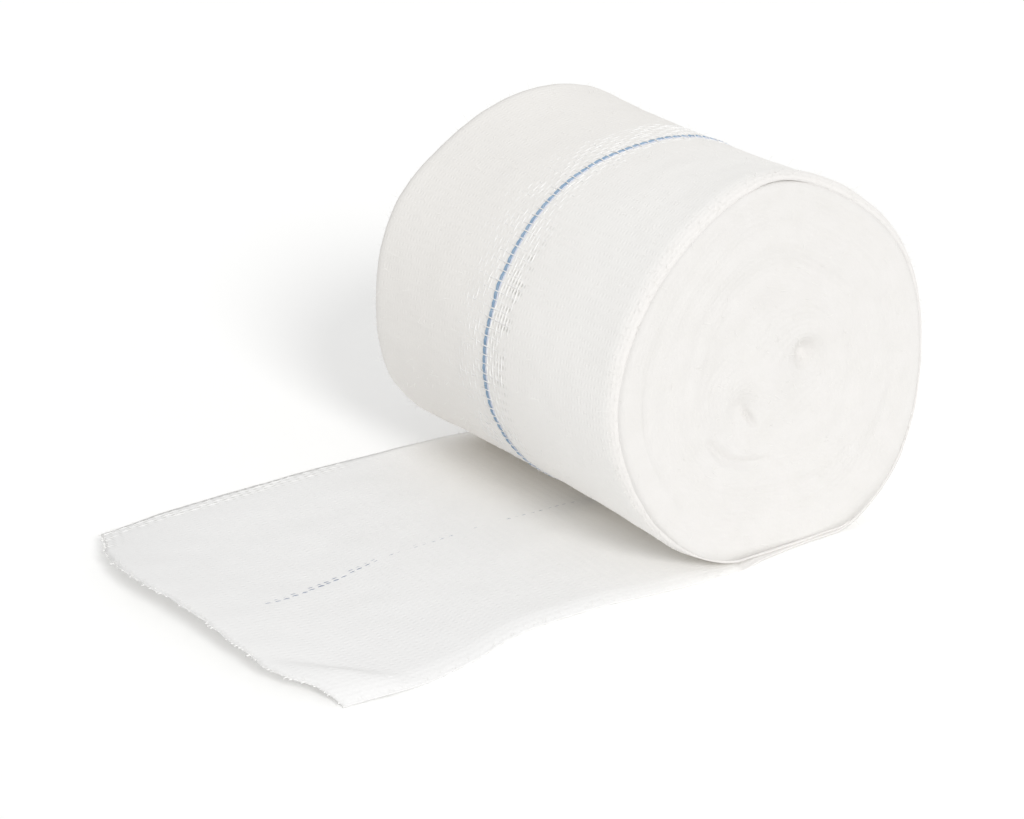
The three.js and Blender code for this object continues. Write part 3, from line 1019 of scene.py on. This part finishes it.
# The marker yarn's floats on the loose end. The strip's other side shows here, so that the blue yarn
# comes through only as two broken rows of short stitches, which are clearest half way along.
FLOAT_RADIUS = 0.11
FLOAT_HALF_LENGTH = 0.6
FLOAT_SPACING = 0.34
FLOATS_END = 72
FLOATS_CLEAREST = dict(length=-58, spread=9)
FLOATS_ACROSS = [
    dict(length=-75, across=-3.2),
    dict(length=-69, across=-4.9),
    dict(length=-60, across=-3.4),
    dict(length=-51, across=-2.0),
    dict(length=-42, across=-1.6),
    dict(length=-30, across=-1.2),
    dict(length=-18, across=-0.4),
    dict(length=-4, across=0.2),
]


def make_floats():
    cotton = cotton_yarn("blue_yarn_floats", "7D879A", "A9B1BE")
    chance = random.Random(23)
    stitches = []
    for number in range(3, int(FLOATS_END / WEFT_PITCH)):
        for row in (-1, 1):
            middle = -number * WEFT_PITCH + chance.uniform(-0.2, 0.2)
            clear = soft_fall(middle - FLOATS_CLEAREST["length"], FLOATS_CLEAREST["spread"])
            # Some stitches don't come through, and fewer do in the back row.
            if chance.random() > 0.55 + 0.4 * clear - 0.15 * row:
                continue
            across = along(FLOATS_ACROSS, "length", "across", middle)
            across += row * FLOAT_SPACING + chance.uniform(-0.06, 0.06)
            share = (0.45 + 0.55 * clear) * (1 - 0.15 * row) * chance.uniform(0.7, 1.1)
            path = []
            for step in (-1, -0.5, 0, 0.5, 1):
                lift = 0.1 * share * (1 - step * step) - 0.06
                place = ply_point(middle + FLOAT_HALF_LENGTH * step, across, lift)
                path.append((place, share * (1 - 0.3 * abs(step))))
            stitches.append(path)
    curve = yarn_curve("marker_floats", stitches, FLOAT_RADIUS)
    gauze_piece("marker_floats", curve, cotton, "loose_end")


make_floats()


# Fluff: loose cotton fibres that stand out from the cloth, most of them along its cut and woven
# edges. They are much finer than the picture can show, so they are drawn a little thicker.
FIBRE_RADIUS = 0.028
FIBRES = dict(skin=1100, rim=900, cut=260, sides=300, face=500)


def fibre_path(place, outwards, chance, longest=1.5):
    """A fibre that leaves the cloth outwards and bends over at random."""
    drift = Vector([chance.uniform(-1, 1) for _ in range(3)])
    bend = Vector([chance.uniform(-1, 1) for _ in range(3)])
    length = chance.uniform(0.3, 1) * longest
    path = []
    for step in range(4):
        t = step / 3
        offset = (outwards * 0.55 * t + drift * 0.6 * t + bend * 0.5 * t * t) * length
        path.append((place + offset, 1 - 0.5 * t))
    return path


def fibre_on_strip(length, across, chance, longest=1.5):
    place = ply_point(length, across, -0.05)
    outwards = (ply_point(length, across, 0.5) - ply_point(length, across, 0)).normalized()
    path = fibre_path(place, outwards, chance, longest)
    return [(Vector((point.x, point.y, max(point.z, 0.05))), share) for point, share in path]


def make_fluff():
    cotton = cotton_yarn("cotton_fibre", "F4F3F0", "FCFBF9")
    chance = random.Random(41)
    turn_end = 0.93 * TURN * TURN_RADIUS
    paths = []
    for _ in range(FIBRES["skin"]):
        paths.append(
            fibre_on_strip(chance.uniform(15, turn_end), chance.uniform(-FLAT_HALF, FLAT_HALF), chance)
        )
    for _ in range(FIBRES["rim"]):
        across = chance.choice((-1, -1, 1)) * (FLAT_HALF + chance.uniform(0.5, RIM_REACH))
        paths.append(fibre_on_strip(chance.uniform(15, turn_end), across, chance))
    for _ in range(FIBRES["cut"]):
        across = chance.uniform(-HALF_WIDTH, HALF_WIDTH)
        paths.append(fibre_on_strip(-LOOSE_LENGTH + chance.uniform(0, 0.5), across, chance, 0.7))
    for _ in range(FIBRES["sides"]):
        across = chance.choice((-1, 1)) * (HALF_WIDTH - chance.uniform(0, 0.6))
        paths.append(fibre_on_strip(-chance.uniform(0, LOOSE_LENGTH), across, chance, 0.8))
    for _ in range(FIBRES["face"]):
        angle = chance.uniform(0, TURN)
        row = dict(kind="face", side=chance.choice((-1, 1)), radius=chance.uniform(3, FACE_RADIUS))
        outwards = Vector((0, row["side"], 0))
        paths.append(fibre_path(turns_point(row, angle), outwards * 0.6, chance))
    curve = yarn_curve("fluff", paths, FIBRE_RADIUS)
    gauze_piece("fluff", curve, cotton, "wound_roll", "loose_end")


make_fluff()
